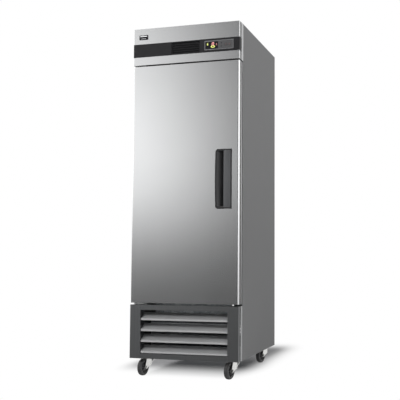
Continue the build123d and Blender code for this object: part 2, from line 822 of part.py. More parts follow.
def shelf(level):
    """Wire shelf: a rim rod, close wires front to back, and two cross bars under them."""
    gap = pilaster_depth + shelf_gap
    x0, x1 = inner_left + gap + rim_radius, inner_right - gap - rim_radius
    y0, y1 = inner_front + shelf_front_gap, inner_back - shelf_back_gap
    z = level + rim_radius
    rim = [
        rod((x0, y0, z), (x1, y0, z), rim_radius),
        rod((x0, y1, z), (x1, y1, z), rim_radius),
        rod((x0, y0, z), (x0, y1, z), rim_radius),
        rod((x1, y0, z), (x1, y1, z), rim_radius),
    ]
    corners = [Pos(x, y, z) * Sphere(rim_radius) for x in (x0, x1) for y in (y0, y1)]
    count = int((x1 - x0) / wire_pitch)
    pitch = (x1 - x0) / count
    wire_z = z + rim_radius - 0.6
    wires = [rod((x0 + n * pitch, y0 - 2, wire_z), (x0 + n * pitch, y1 + 2, wire_z), wire_radius)
             for n in range(1, count)]
    bars = []
    for share in (0.33, 0.67):
        y = y0 + share * (y1 - y0)
        bars.append(rod((x0, y, z), (x1, y, z), rim_radius - 0.4))
    return Part() + [*rim, *corners, *wires, *bars]


housing_gap = 4.0
housing_front = inner_front + wall + 12.0
fan_radius = 76.0
fan_y = housing_front + 120.0
fan_z = housing_bottom
fan_hub_radius = 22.0


def evaporator_housing():
    """Folded cover under the cabinet's ceiling, with the fan inlet in its floor."""
    x0, x1 = inner_left + housing_gap, inner_right - housing_gap
    y0, y1 = housing_front, inner_back - 30
    z0, z1 = housing_bottom, inner_top - 2
    t = 1.5
    shell = block(x0, x1, y0, y1, z0, z1)
    shell -= block(x0 + t, x1 - t, y0 + t, y1 + 1, z0 + t, z1 + 1)
    shell -= rod((0, fan_y, z0 - 1), (0, fan_y, z0 + t + 1), fan_radius + 4)
    for n in range(-2, 3):
        x = n * 84.0
        shell -= block(x - 32, x + 32, y0 - 1, y0 + t + 1, z1 - 70, z1 - 62)
        shell -= block(x - 32, x + 32, y0 - 1, y0 + t + 1, z1 - 50, z1 - 42)
    return shell


def fan_guard(x, y, z, axis, radius, rings):
    """Wire guard: a centre disc, rings and three spokes, in a plane square to the axis."""
    wire = 1.4
    pieces = [Solid.make_cylinder(9, 2 * wire, Plane.XY.offset(-wire))]
    for n in range(3):
        angle = math.radians(120 * n + 30)
        tip = (radius * math.cos(angle), radius * math.sin(angle), 0)
        pieces.append(rod((0, 0, 0), tip, wire))
    for n in range(rings):
        pieces.append(Solid.make_torus(radius * (1 - n / rings), wire))
    return Plane((x, y, z), z_dir=axis).location * (Part() + pieces)


def fan_blades(x, y, z, axis, radius, count, hub_length):
    """Axial fan: a hub with pitched blades, centred on its shaft."""
    blades = Solid.make_cylinder(fan_hub_radius, hub_length, Plane.XY.offset(-hub_length / 2))
    for n in range(count):
        blade = Pos((radius + fan_hub_radius - 3) / 2, 0, 0) * Rot(32, 0, 0) * Box(
            radius - fan_hub_radius + 3, radius * 0.5, 1.8
        )
        tip = Cylinder(radius, 80) - Cylinder(fan_hub_radius - 2, 80)
        blades += Rot(0, 0, n * 360 / count) * (blade & tip)
    blades -= Cylinder(shaft_radius + running, hub_length + 2)
    return Plane((x, y, z), z_dir=axis).location * blades


shaft_radius = 4.0


def fan_motor(x, y, z, axis, length, radius, bracket, span):
    """Small motor with its shaft through the fan hub, and a flat bracket behind it."""
    place = Plane((x, y, z), x_dir=(1, 0, 0), z_dir=axis)
    can = Solid.make_cylinder(radius, length, Plane.XY)
    can = fillet(can.edges().group_by(Axis.Z)[-1], 4)
    shaft = Solid.make_cylinder(shaft_radius, 34, Plane.XY.offset(-34))
    strap = Pos(0, 0, length + bracket / 2) * Box(span, 24, bracket)
    return place.location * (can + shaft + strap)


coil_tube_radius = 4.5


def finned_coil(x0, x1, y0, y1, z0, z1, rows, columns, pitch, along_z=True):
    """Tube-and-fin coil: end plates, fins square to X and straight tubes with return bends."""
    plates = [block(x0, x0 + 1.5, y0, y1, z0, z1), block(x1 - 1.5, x1, y0, y1, z0, z1)]
    count = int((x1 - x0 - 10) / pitch)
    for n in range(1, count):
        x = x0 + 1.5 + n * (x1 - x0 - 3) / count
        plates.append(block(x - 0.3, x + 0.3, y0 + 2, y1 - 2, z0 + 2, z1 - 2))
    tubes = []
    for i in range(columns):
        y = y0 + (i + 0.5) * (y1 - y0) / columns
        for j in range(rows):
            z = z0 + (j + 0.5) * (z1 - z0) / rows
            tubes.append(rod((x0 - 8, y, z), (x1 + 8, y, z), coil_tube_radius))
        for j in range(rows - 1):
            za = z0 + (j + 0.5) * (z1 - z0) / rows
            zb = z0 + (j + 1.5) * (z1 - z0) / rows
            x = x1 + 8 if j % 2 == i % 2 else x0 - 8
            tubes.append(rod((x, y, za), (x, y, zb), coil_tube_radius))
    return Part() + plates + tubes


def evaporator_coil():
    y1 = inner_back - 50
    return finned_coil(inner_left + 40, inner_right - 40, y1 - 130, y1, housing_bottom + 30,
                       inner_top - 40, 4, 3, 20.0)


def evaporator_motor():
    return fan_motor(0, fan_y, fan_z + 34, (0, 0, 1), 42, 32, 3, 2 * fan_radius + 30)


def evaporator_blades():
    return fan_blades(0, fan_y, fan_z + 22, (0, 0, 1), fan_radius - 2, 5, 20)


def evaporator_guard():
    return fan_guard(0, fan_y, fan_z - 1.6, (0, 0, 1), fan_radius + 8, 5)


lamp_length = 300.0


def interior_lamp():
    """Strip lamp on the underside of the head, lighting the shelves."""
    x0, x1 = -lamp_length / 2, lamp_length / 2
    y0 = inner_front + 6
    z1 = opening_top
    lamp = block(x0, x1, y0, y0 + 34, z1 - 18, z1)
    lower = lamp.edges().filter_by(Axis.X).group_by(Axis.Z)[0]
    return fillet(lower, 8)


# ---------------------------------------------------------------- machine compartment
deck_top = caster_height + base_pan_thickness
compressor_x = -130.0
compressor_y = back - 190.0
compressor_radius = 88.0
compressor_height = 196.0
foot_height = 18.0


def compressor():
    """Hermetic compressor: two welded domes on a foot plate, and the terminal cover."""
    r, h = compressor_radius, compressor_height
    seam_z = h * 0.52
    z0 = deck_top + foot_height
    lower = Solid.make_cylinder(r * 0.97, seam_z, Plane.XY)
    lower = fillet(lower.edges().group_by(Axis.Z)[0], 24)
    upper = Solid.make_cylinder(r * 0.95, h - seam_z, Plane.XY.offset(seam_z))
    upper = fillet(upper.edges().group_by(Axis.Z)[-1], 42)
    rim = Solid.make_cylinder(r, 8, Plane.XY.offset(seam_z - 4))
    shell = Part() + [lower, upper, rim]
    plate = Pos(0, 0, -1.5) * Box(2 * r + 34, 2 * r - 40, 3)
    plate = fillet(plate.edges().filter_by(Axis.Z), 14)
    terminal = Pos(0, -r - 6, h * 0.42) * Box(58, 34, 66)
    terminal = fillet(terminal.edges().filter_by(Axis.Y), 6)
    body = shell + plate
    cover = terminal - shell
    feet = []
    for sx in (-1, 1):
        for sy in (-1, 1):
            x, y = sx * (r + 6), sy * (r - 36)
            feet.append(rod((x, y, -3 - foot_height + 3), (x, y, -3), 12))
    place = Pos(compressor_x, compressor_y, z0)
    return group([place * body, place * cover, *(place * foot for foot in feet)])


condenser_x0 = -250.0
condenser_x1 = 250.0
condenser_y0 = body_front + sheet + post_depth
condenser_depth = 62.0
condenser_z0 = deck_top + 8
condenser_height = 230.0
shroud_depth = 34.0
condenser_fan_radius = 104.0
condenser_fan_z = condenser_z0 + condenser_height / 2
shroud_back = condenser_y0 + condenser_depth + shroud_depth


def condenser_coil():
    return finned_coil(condenser_x0, condenser_x1, condenser_y0, condenser_y0 + condenser_depth,
                       condenser_z0, condenser_z0 + condenser_height, 6, 2, 16.0)


def condenser_shroud():
    """Folded shroud behind the coil with a round fan mouth, and a baffle from its roof to the deck."""
    y0, y1 = condenser_y0 + condenser_depth, shroud_back
    z0, z1 = condenser_z0 - 8, condenser_z0 + condenser_height
    t = 1.5
    shell = block(condenser_x0, condenser_x1, y0, y1, z0, z1)
    shell -= block(condenser_x0 + t, condenser_x1 - t, y0 - 1, y1 - t, z0 + t, z1 - t)
    shell += block(condenser_x0, condenser_x1, y0, y0 + t, z1 - t, machine_roof - touch)
    return shell - rod((0, y0, condenser_fan_z), (0, y1 + 1, condenser_fan_z), condenser_fan_radius + 5)


def condenser_blades():
    return fan_blades(0, shroud_back, condenser_fan_z, (0, 1, 0), condenser_fan_radius, 5, 28)


def condenser_motor():
    """Fan motor behind the blades, on a strap that spans the shroud's mouth."""
    return fan_motor(0, shroud_back + 20, condenser_fan_z, (0, 1, 0), 46, 36, 3,
                     2 * condenser_fan_radius + 60)


def motor_legs():
    y0, y1 = shroud_back, shroud_back + 20 + 46
    span = condenser_fan_radius + 22
    return [rod((s * span, y0, condenser_fan_z), (s * span, y1, condenser_fan_z), 4) for s in (-1, 1)]


def condenser_motor_node():
    return condenser_motor() + motor_legs()


pan_size = (250.0, 180.0, 46.0)
pan_x = 150.0
pan_y = back - 192.0


def condensate_pan():
    """Open tray that catches the defrost water and lets it evaporate."""
    w, d, h = pan_size
    z0 = deck_top + 1
    tray = block(pan_x - w / 2, pan_x + w / 2, pan_y - d / 2, pan_y + d / 2, z0, z0 + h)
    tray -= block(pan_x - w / 2 + 2.5, pan_x + w / 2 - 2.5, pan_y - d / 2 + 2.5, pan_y + d / 2 - 2.5,
                  z0 + 2.5, z0 + h + 1)
    rim = block(pan_x - w / 2 - 6, pan_x + w / 2 + 6, pan_y - d / 2 - 6, pan_y + d / 2 + 6,
                z0 + h - 3, z0 + h)
    rim -= block(pan_x - w / 2, pan_x + w / 2, pan_y - d / 2, pan_y + d / 2, z0 + h - 4, z0 + h + 1)
    return tray + rim


line_radius = 4.0


def refrigerant_lines():
    """Copper lines: discharge to the condenser, suction up the back, and the filter drier."""
    shell_z = deck_top + foot_height + compressor_height * 0.62
    r = compressor_radius * 0.9
    side_x = compressor_x - compressor_radius - 24
    coil_y = condenser_y0 + condenser_depth / 2
    start = (compressor_x - r - 10, compressor_y, shell_z)
    discharge = bent_tube(
        [start, (side_x - 14, compressor_y, shell_z), (side_x - 14, compressor_y - 70, shell_z),
         (side_x - 14, shroud_back + 40, shell_z + 24)],
        line_radius, 10,
    )
    suction_x = compressor_x + compressor_radius + 18
    riser_y = back - wall / 2 - 30
    suction = bent_tube(
        [(suction_x - 9, compressor_y, shell_z), (suction_x + 12, compressor_y, shell_z),
         (suction_x + 12, riser_y, shell_z), (suction_x + 12, riser_y, machine_roof - 1)],
        line_radius + 1, 12,
    )
    drier_x = side_x - 14
    drier = rod((drier_x, compressor_y + 10, deck_top + 60), (drier_x, compressor_y + 110, deck_top + 60), 11)
    caps = [rod((drier_x, compressor_y - 8, deck_top + 60), (drier_x, compressor_y + 10, deck_top + 60), 4),
            rod((drier_x, compressor_y + 110, deck_top + 60), (drier_x, compressor_y + 126, deck_top + 60), 4)]
    return group([discharge, suction, drier + caps])


box_size = (120.0, 70.0, 150.0)


def electrical_box():
    """Steel wiring box at the right of the compartment, with the supply gland at its back."""
    w, d, h = box_size
    x1 = right - sheet - flange - 6
    x0 = x1 - w
    y1 = shroud_back + 150 + d
    y0 = y1 - d
    z0 = machine_roof - h - 2
    body = block(x0, x1, y0, y1, z0, z0 + h)
    body = fillet(body.edges().filter_by(Axis.Z), 3)
    lid = block(x0 + 6, x1 - 6, y0 - 2, y0, z0 + 6, z0 + h - 6)
    gland = rod(((x0 + x1) / 2, y1, z0 + 30), ((x0 + x1) / 2, y1 + 22, z0 + 30), 11)
    gland -= rod(((x0 + x1) / 2, y1 + 6, z0 + 30), ((x0 + x1) / 2, y1 + 23, z0 + 30), 5)
    hanger = block(x0 + 20, x1 - 20, y0 + 10, y1 - 10, z0 + h, machine_roof)
    return body + lid + gland + hanger


rear_slots = 9


def rear_grille():
    """Slotted sheet that closes the machine compartment at the back."""
    z0, z1 = skirt_height + 4, machine_roof
    x0, x1 = left + sheet, right - sheet
    cover = block(x0, x1, back - sheet, back, z0, z1)
    pitch = (z1 - z0 - 110) / rear_slots
    cuts = []
    for n in range(rear_slots):
        z = z0 + 70 + n * pitch
        for xc in (-160.0, 0.0, 160.0):
            cuts.append(block(xc - 66, xc + 66, back - sheet - 1, back + 1, z, z + pitch * 0.45))
    return cover - cuts


def screw(x, y, z, axis):
    """Pan-head screw with a cross recess."""
    head = Solid.make_cylinder(4.5, screw_proud, Plane.XY)
    head = fillet(head.edges().group_by(Axis.Z)[-1], 1.4)
    head -= Pos(0, 0, screw_proud) * Box(5.2, 1.1, 1.8)
    head -= Pos(0, 0, screw_proud) * Box(1.1, 5.2, 1.8)
    return Plane((x, y, z), z_dir=axis).location * head


def panel_screws():
    """Screws of the rear grille, the back panel and the hinge brackets."""
    screws = []
    for x in (left + 18, 0.0, right - 18):
        for z in (skirt_height + 40, machine_roof - 14, machine_roof + 16, (machine_roof + top) / 2, top - 20):
            screws.append(screw(x, back, z, (0, 1, 0)))
    return group([s for s in screws])


# ---------------------------------------------------------------- every node, by name
def nodes():
    made = {
        "side_panels": side_panels(),
        "top_panel": top_panel(),
        "back_panel": back_panel(),
        "front_frame": front_frame(),
        "insulation_foam": insulation(),
        "liner_walls": liner(),
        "machine_deck": machine_deck(),
        "base_pan": base_pan(),
        "caster_plates": caster_plates(),
        "grille_frame": grille_frame(),
        "grille_louvres": grille_louvres(),
        "header_shell": header_shell(),
        "fascia_band": fascia_band(),
        "fascia_vent": fascia_vent(),
        "controller_bezel": controller_bezel(),
        "display_window": display_window(),
        "badge_plate": badge_plate(),
        "hinge_bracket_top": hinge_bracket(door_top, 1),
        "hinge_bracket_bottom": hinge_bracket(door_bottom, -1),
        "shelf_pilasters": shelf_pilasters(),
        "shelf_clips": shelf_clips(),
        "evaporator_housing": evaporator_housing(),
        "evaporator_coil": evaporator_coil(),
        "evaporator_fan_motor": evaporator_motor(),
        "evaporator_fan_guard": evaporator_guard(),
        "interior_lamp": interior_lamp(),
        "compressor": compressor(),
        "condenser_coil": condenser_coil(),
        "condenser_fan_shroud": condenser_shroud(),
        "condenser_fan_motor": condenser_motor_node(),
        "condensate_pan": condensate_pan(),
        "refrigerant_lines": refrigerant_lines(),
        "electrical_box": electrical_box(),
        "rear_grille": rear_grille(),
        "panel_screws": panel_screws(),
        "door_skin": door_skin(),
        "door_edge_strip": door_edge_strip(),
        "door_liner": door_liner(),
        "door_foam": door_foam(),
        "door_gasket": door_gasket(),
        "handle_cup": handle_cup(),
        "handle_grip": handle_grip(),
        "hinge_bushes": hinge_bushes(),
        "evaporator_fan_blades": evaporator_blades(),
        "condenser_fan_blades": condenser_blades(),
    }
    for name, x in key_centres():
        made[f"key_{name}"] = key(x)
    for n, level in enumerate(shelf_levels(), 1):
        made[f"shelf_{n}"] = shelf(level)
    for name, side, end, angle in casters:
        place = caster_local(side, end, angle)
        with_brake = end < 0
        pieces = fork(with_brake) + ([brake_pin()] if with_brake else [])
        made[f"caster_{name}_fork"] = place * group(pieces)
        made[f"caster_{name}_wheel"] = place * group(wheel())
        if with_brake:
            made[f"caster_{name}_brake"] = place * group(brake_pedal())
    return made


os.makedirs("parts", exist_ok=True)
for node, shape in nodes().items():
    export_step(shape, f"parts/{node}.step")
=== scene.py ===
import json
import math

import bmesh
import bpy
from mathutils import Matrix, Vector


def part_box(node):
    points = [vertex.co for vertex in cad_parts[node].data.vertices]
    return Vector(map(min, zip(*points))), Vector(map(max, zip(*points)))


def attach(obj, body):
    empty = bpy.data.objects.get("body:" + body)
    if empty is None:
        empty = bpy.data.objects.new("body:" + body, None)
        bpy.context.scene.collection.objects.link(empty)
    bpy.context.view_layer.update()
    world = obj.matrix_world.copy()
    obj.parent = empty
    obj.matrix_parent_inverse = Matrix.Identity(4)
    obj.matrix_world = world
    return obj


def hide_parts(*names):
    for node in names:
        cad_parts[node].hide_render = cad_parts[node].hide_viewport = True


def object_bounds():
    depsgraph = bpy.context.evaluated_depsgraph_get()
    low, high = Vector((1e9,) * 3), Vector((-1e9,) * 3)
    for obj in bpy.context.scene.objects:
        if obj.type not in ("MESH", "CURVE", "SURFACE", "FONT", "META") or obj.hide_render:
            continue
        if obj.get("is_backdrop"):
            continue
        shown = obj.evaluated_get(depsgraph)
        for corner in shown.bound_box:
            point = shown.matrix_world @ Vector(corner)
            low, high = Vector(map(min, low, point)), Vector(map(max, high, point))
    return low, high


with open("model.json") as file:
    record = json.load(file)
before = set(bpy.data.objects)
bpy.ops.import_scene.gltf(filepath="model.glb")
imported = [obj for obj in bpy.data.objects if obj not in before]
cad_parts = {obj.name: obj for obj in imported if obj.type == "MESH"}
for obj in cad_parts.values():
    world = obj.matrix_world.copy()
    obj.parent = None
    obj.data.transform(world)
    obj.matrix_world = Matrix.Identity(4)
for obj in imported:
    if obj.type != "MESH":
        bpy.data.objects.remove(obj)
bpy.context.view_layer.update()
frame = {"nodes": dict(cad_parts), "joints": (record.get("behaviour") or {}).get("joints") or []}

cad = frame["nodes"]

# ------------------------------------------------------------------ outer panels
# The sides, top and back are folded steel sheets with a grey baked coat. They are rolled flat,
# so they only show a faint waviness, the fine peel of the coat and some dust on the level top.


def new_group(name, inputs, outputs):
    """A shader node group with the named sockets."""
    group = bpy.data.node_groups.new(name, "ShaderNodeTree")
    for label, kind, default in inputs:
        socket = group.interface.new_socket(label, in_out="INPUT", socket_type=kind)
        socket.default_value = default
    for label, kind in outputs:
        group.interface.new_socket(label, in_out="OUTPUT", socket_type=kind)
    start = group.nodes.new("NodeGroupInput")
    end = group.nodes.new("NodeGroupOutput")
    return group, start.outputs, end.inputs


def math_node(tree, operation, first, second=None):
    """One maths step; each input is a socket or a number."""
    node = tree.nodes.new("ShaderNodeMath")
    node.operation = operation
    for socket, value in zip(node.inputs, (first, second)):
        if value is None:
            continue
        if isinstance(value, (int, float)):
            socket.default_value = value
        else:
            tree.links.new(value, socket)
    return node.outputs[0]


def noise(tree, vector, scale, detail=2.0, rough=0.5):
    """A noise pattern's grey value."""
    node = tree.nodes.new("ShaderNodeTexNoise")
    tree.links.new(vector, node.inputs["Vector"])
    if isinstance(scale, (int, float)):
        node.inputs["Scale"].default_value = scale
    else:
        tree.links.new(scale, node.inputs["Scale"])
    node.inputs["Detail"].default_value = detail
    node.inputs["Roughness"].default_value = rough
    return node.outputs["Fac"]


def shade_between(tree, factor, dark, light):
    """A colour between two, by a grey value."""
    ramp = tree.nodes.new("ShaderNodeValToRGB")
    ramp.color_ramp.elements[0].position = 0.25
    ramp.color_ramp.elements[1].position = 0.75
    ramp.color_ramp.elements[0].color = (*dark, 1)
    ramp.color_ramp.elements[1].color = (*light, 1)
    tree.links.new(factor, ramp.inputs[0])
    return ramp.outputs[0]


def spread(tree, factor, low, high):
    """Maps a grey value of about a quarter to three quarters onto a range."""
    node = tree.nodes.new("ShaderNodeMapRange")
    node.inputs["From Min"].default_value = 0.25
    node.inputs["From Max"].default_value = 0.75
    node.inputs["To Min"].default_value = low
    node.inputs["To Max"].default_value = high
    tree.links.new(factor, node.inputs["Value"])
    return node.outputs[0]


# moulded or sprayed surfaces: a fine peel, a slow unevenness and dust that settles on level faces
surface, enter, leave = new_group(
    "peel_and_dust",
    [("Peel Scale", "NodeSocketFloat", 900.0), ("Cloud Scale", "NodeSocketFloat", 3.0)],
    [("Peel", "NodeSocketFloat"), ("Cloud", "NodeSocketFloat"), ("Dust", "NodeSocketFloat")],
)
place = surface.nodes.new("ShaderNodeTexCoord").outputs["Object"]
surface.links.new(noise(surface, place, enter["Peel Scale"], 2.0), leave["Peel"])
surface.links.new(noise(surface, place, enter["Cloud Scale"], 4.0, 0.6), leave["Cloud"])
facing = surface.nodes.new("ShaderNodeSeparateXYZ")
surface.links.new(surface.nodes.new("ShaderNodeNewGeometry").outputs["Normal"], facing.inputs[0])
level = math_node(surface, "MAXIMUM", facing.outputs["Z"], 0.0)
dusty = math_node(surface, "MULTIPLY", math_node(surface, "POWER", level, 3.0),
                  noise(surface, place, 14.0, 5.0, 0.7))
surface.links.new(dusty, leave["Dust"])


def finish(name, metallic=0.0, specular=0.5):
    """A material with its Principled shader; values that don't vary are set here."""
    material = bpy.data.materials.new(name)
    material.use_nodes = True
    tree = material.node_tree
    shader = tree.nodes["Principled BSDF"]
    shader.inputs["Metallic"].default_value = metallic
    shader.inputs["Specular IOR Level"].default_value = specular
    return material, tree, shader


def bump(tree, shader, height, strength, distance):
    """Lets a grey value lift the surface by up to a small distance, in metres."""
    node = tree.nodes.new("ShaderNodeBump")
    node.inputs["Strength"].default_value = strength
    node.inputs["Distance"].default_value = distance
    tree.links.new(height, node.inputs["Height"])
    tree.links.new(node.outputs[0], shader.inputs["Normal"])


def coated(name, dark, light, rough=(0.42, 0.52), peel=900.0, cloud=3.0, lift=0.12, dust=0.25,
           metallic=0.0, specular=0.5):
    """Paint or moulded plastic: colour drifts slowly, the gloss with it, and dust greys level faces."""
    material, tree, shader = finish(name, metallic, specular)
    group = tree.nodes.new("ShaderNodeGroup")
    group.node_tree = surface
    group.inputs["Peel Scale"].default_value = peel
    group.inputs["Cloud Scale"].default_value = cloud
    tint = shade_between(tree, group.outputs["Cloud"], dark, light)
    mix = tree.nodes.new("ShaderNodeMix")
    mix.data_type = "RGBA"
    tree.links.new(math_node(tree, "MULTIPLY", group.outputs["Dust"], dust), mix.inputs["Factor"])
    tree.links.new(tint, mix.inputs["A"])
    mix.inputs["B"].default_value = (0.42, 0.40, 0.37, 1)
    tree.links.new(mix.outputs["Result"], shader.inputs["Base Color"])
    tree.links.new(spread(tree, group.outputs["Cloud"], *rough), shader.inputs["Roughness"])
    bump(tree, shader, group.outputs["Peel"], lift, 0.0004)
    return material


def dress(material, *names):
    """Gives CAD nodes a finish."""
    for name in names:
        slots = cad[name].data.materials
        slots.clear()
        slots.append(material)


grey_coat = coated("grey baked coat", (0.118, 0.119, 0.121), (0.127, 0.128, 0.130), rough=(0.44, 0.52),
                   peel=1100.0, cloud=1.2, lift=0.10, dust=0.2)
dress(grey_coat, "side_panels", "top_panel", "back_panel")

# ------------------------------------------------------------------ base, deck and service sheets
# The base pan, the machine deck, the fan shroud, the wiring box and the slotted rear cover are
# galvanised sheet, cut and folded; the zinc shows its crystal pattern.
spangle_coat, spangle_tree, spangle_shader = finish("galvanised sheet", metallic=1.0)
spangle = spangle_tree.nodes.new("ShaderNodeTexVoronoi")
spangle.inputs["Scale"].default_value = 70.0
spangle_place = spangle_tree.nodes.new("ShaderNodeTexCoord").outputs["Object"]
spangle_tree.links.new(spangle_place, spangle.inputs["Vector"])
spangle_value = spangle_tree.nodes.new("ShaderNodeSeparateColor")
spangle_tree.links.new(spangle.outputs["Color"], spangle_value.inputs[0])
spangle_tree.links.new(
    shade_between(spangle_tree, spangle_value.outputs[0], (0.36, 0.38, 0.40), (0.52, 0.54, 0.55)),
    spangle_shader.inputs["Base Color"],
)
spangle_tree.links.new(spread(spangle_tree, spangle_value.outputs[1], 0.38, 0.55),
                       spangle_shader.inputs["Roughness"])
bump(spangle_tree, spangle_shader, noise(spangle_tree, spangle_place, 300.0, 3.0), 0.08, 0.0003)
dress(spangle_coat, "base_pan", "machine_deck", "condenser_fan_shroud", "rear_grille", "electrical_box")

# ------------------------------------------------------------------ stainless front frame and liner
# Stainless sheet with a satin finish: a belt sands long fine lines into it before it is folded.
# The lines run up the front of the machine and along the louvres.
grain, enter, leave = new_group(
    "satin_grain",
    [("Stretch", "NodeSocketVector", (900.0, 900.0, 9.0)), ("Cloud Scale", "NodeSocketFloat", 2.0)],
    [("Line", "NodeSocketFloat"), ("Streak", "NodeSocketFloat"), ("Cloud", "NodeSocketFloat")],
)
place = grain.nodes.new("ShaderNodeTexCoord").outputs["Object"]


def stretched(tree, vector, stretch, share):
    """A place on the surface, pulled out along the sanding lines."""
    scale = tree.nodes.new("ShaderNodeVectorMath")
    scale.operation = "SCALE"
    tree.links.new(stretch, scale.inputs[0])
    scale.inputs["Scale"].default_value = share
    node = tree.nodes.new("ShaderNodeVectorMath")
    node.operation = "MULTIPLY"
    tree.links.new(vector, node.inputs[0])
    tree.links.new(scale.outputs[0], node.inputs[1])
    return node.outputs[0]


fine = noise(grain, stretched(grain, place, enter["Stretch"], 1.0), 1.0, 3.0, 0.7)
broad = noise(grain, stretched(grain, place, enter["Stretch"], 0.11), 1.0, 3.0, 0.6)
grain.links.new(fine, leave["Line"])
mixed = math_node(grain, "ADD", math_node(grain, "MULTIPLY", fine, 0.45),
                  math_node(grain, "MULTIPLY", broad, 0.55))
grain.links.new(mixed, leave["Streak"])
grain.links.new(noise(grain, place, enter["Cloud Scale"], 4.0, 0.6), leave["Cloud"])


def stainless(name, stretch, dark=(0.47, 0.475, 0.48), light=(0.60, 0.605, 0.61), rough=(0.30, 0.40),
              lift=0.10, metallic=1.0):
    """Satin stainless steel; stretch says which way the sanding lines run."""
    material, tree, shader = finish(name, metallic)
    group = tree.nodes.new("ShaderNodeGroup")
    group.node_tree = grain
    group.inputs["Stretch"].default_value = stretch
    tree.links.new(shade_between(tree, group.outputs["Streak"], dark, light), shader.inputs["Base Color"])
    blend = math_node(tree, "ADD", math_node(tree, "MULTIPLY", group.outputs["Streak"], 0.5),
                      math_node(tree, "MULTIPLY", group.outputs["Cloud"], 0.5))
    tree.links.new(spread(tree, blend, *rough), shader.inputs["Roughness"])
    bump(tree, shader, group.outputs["Line"], lift, 0.00025)
    return material


upright_steel = stainless("satin steel, upright lines", (900.0, 900.0, 9.0))
dress(upright_steel, "front_frame", "liner_walls", "shelf_pilasters", "shelf_clips", "evaporator_housing",
      "hinge_bracket_top", "hinge_bracket_bottom")
foam_core = coated("yellow wall foam", (0.60, 0.50, 0.28), (0.72, 0.62, 0.38), rough=(0.8, 0.9), peel=420.0,
                   cloud=20.0, lift=0.6, dust=0.0)
dress(foam_core, "insulation_foam", "door_foam")

# ------------------------------------------------------------------ refrigerating machine
# A hermetic compressor in black enamel, copper lines, two finned coils and two fans do the
# cooling. The lower set stands behind the louvres and the upper set hangs in the cabinet's roof.
enamel = coated("black enamel", (0.012, 0.012, 0.013), (0.022, 0.022, 0.023), rough=(0.28, 0.40), peel=500.0,
                cloud=9.0, lift=0.15, dust=0.5)
dress(enamel, "compressor", "condenser_fan_motor", "evaporator_fan_motor")
fins = stainless("aluminium fins", (900.0, 60.0, 60.0), (0.55, 0.56, 0.57), (0.74, 0.75, 0.76), (0.35, 0.5))
dress(fins, "condenser_coil", "evaporator_coil")
copper = stainless("drawn copper", (60.0, 60.0, 60.0), (0.55, 0.24, 0.13), (0.80, 0.40, 0.24), (0.24, 0.42))
dress(copper, "refrigerant_lines")
fan_plastic = coated("black fan plastic", (0.016, 0.016, 0.017), (0.026, 0.026, 0.027), rough=(0.38, 0.5),
                     peel=700.0, cloud=12.0, lift=0.1, dust=0.6)
dress(fan_plastic, "condenser_fan_blades", "evaporator_fan_blades", "condensate_pan")
zinc = stainless("bright zinc plate", (260.0, 260.0, 260.0), (0.56, 0.56, 0.55), (0.82, 0.82, 0.80),
                 (0.16, 0.30), 0.06)
dress(zinc, "evaporator_fan_guard", "panel_screws", "caster_plates")
lamp_cover = coated("milky lamp cover", (0.80, 0.80, 0.77), (0.86, 0.86, 0.83), rough=(0.3, 0.4), peel=900.0,
                    cloud=6.0, lift=0.05, dust=0.0)
dress(lamp_cover, "interior_lamp")
shelf_coat = coated("coated shelf wire", (0.62, 0.63, 0.63), (0.72, 0.73, 0.73),
                    rough=(0.25, 0.38), peel=600.0, cloud=14.0, lift=0.10, dust=0.1)
dress(shelf_coat, "shelf_1", "shelf_2", "shelf_3")

# ------------------------------------------------------------------ casters
# Pressed and zinc-plated forks turn on ball races under the base. The wheels have a grey plastic
# centre with ribs and a black rubber tyre; the front pair has a foot brake.
tyre_rubber = coated("black tyre rubber", (0.020, 0.020, 0.021), (0.034, 0.034, 0.035), rough=(0.5, 0.66),
                     peel=800.0, cloud=30.0, lift=0.25, dust=0.35)
wheel_plastic = coated("grey wheel plastic", (0.045, 0.045, 0.048), (0.070, 0.070, 0.073), rough=(0.4, 0.5),
                       peel=700.0, cloud=25.0, lift=0.12, dust=0.3)


def to_object(name, mesh, material, body, smooth):
    """A finished mesh becomes a piece on its body; edges sharper than smooth degrees stay crisp."""
    data = bpy.data.meshes.new(name)
    mesh.to_mesh(data)
    mesh.free()
    data.materials.append(material)
    piece = bpy.data.objects.new(name, data)
    bpy.context.scene.collection.objects.link(piece)
    for face in data.polygons:
        face.use_smooth = True
    data.set_sharp_from_angle(angle=math.radians(smooth))
    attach(piece, body)
    return piece


def turned(profile, steps, closed=True):
    """A ring turned about local X from (along, radius) points."""
    mesh = bmesh.new()
    rings = []
    for n in range(steps):
        angle = 2 * math.pi * n / steps
        rings.append([mesh.verts.new((a, r * math.cos(angle), r * math.sin(angle))) for a, r in profile])
    count = len(profile)
    for n in range(steps):
        here, there = rings[n], rings[(n + 1) % steps]
        for k in range(count if closed else count - 1):
            j = (k + 1) % count
            mesh.faces.new((here[k], here[j], there[j], there[k]))
    bmesh.ops.recalc_face_normals(mesh, faces=mesh.faces)
    return mesh


def add_block(mesh, size, matrix, bevel=0.0):
    """Adds a box with softened edges to a mesh."""
    made = bmesh.ops.create_cube(mesh, size=1.0, matrix=matrix @ Matrix.Diagonal((*size, 1.0)))
    if bevel:
        edges = list({edge for vert in made["verts"] for edge in vert.link_edges})
        bmesh.ops.bevel(mesh, geom=edges, offset=bevel, segments=2, affect="EDGES", profile=0.6)


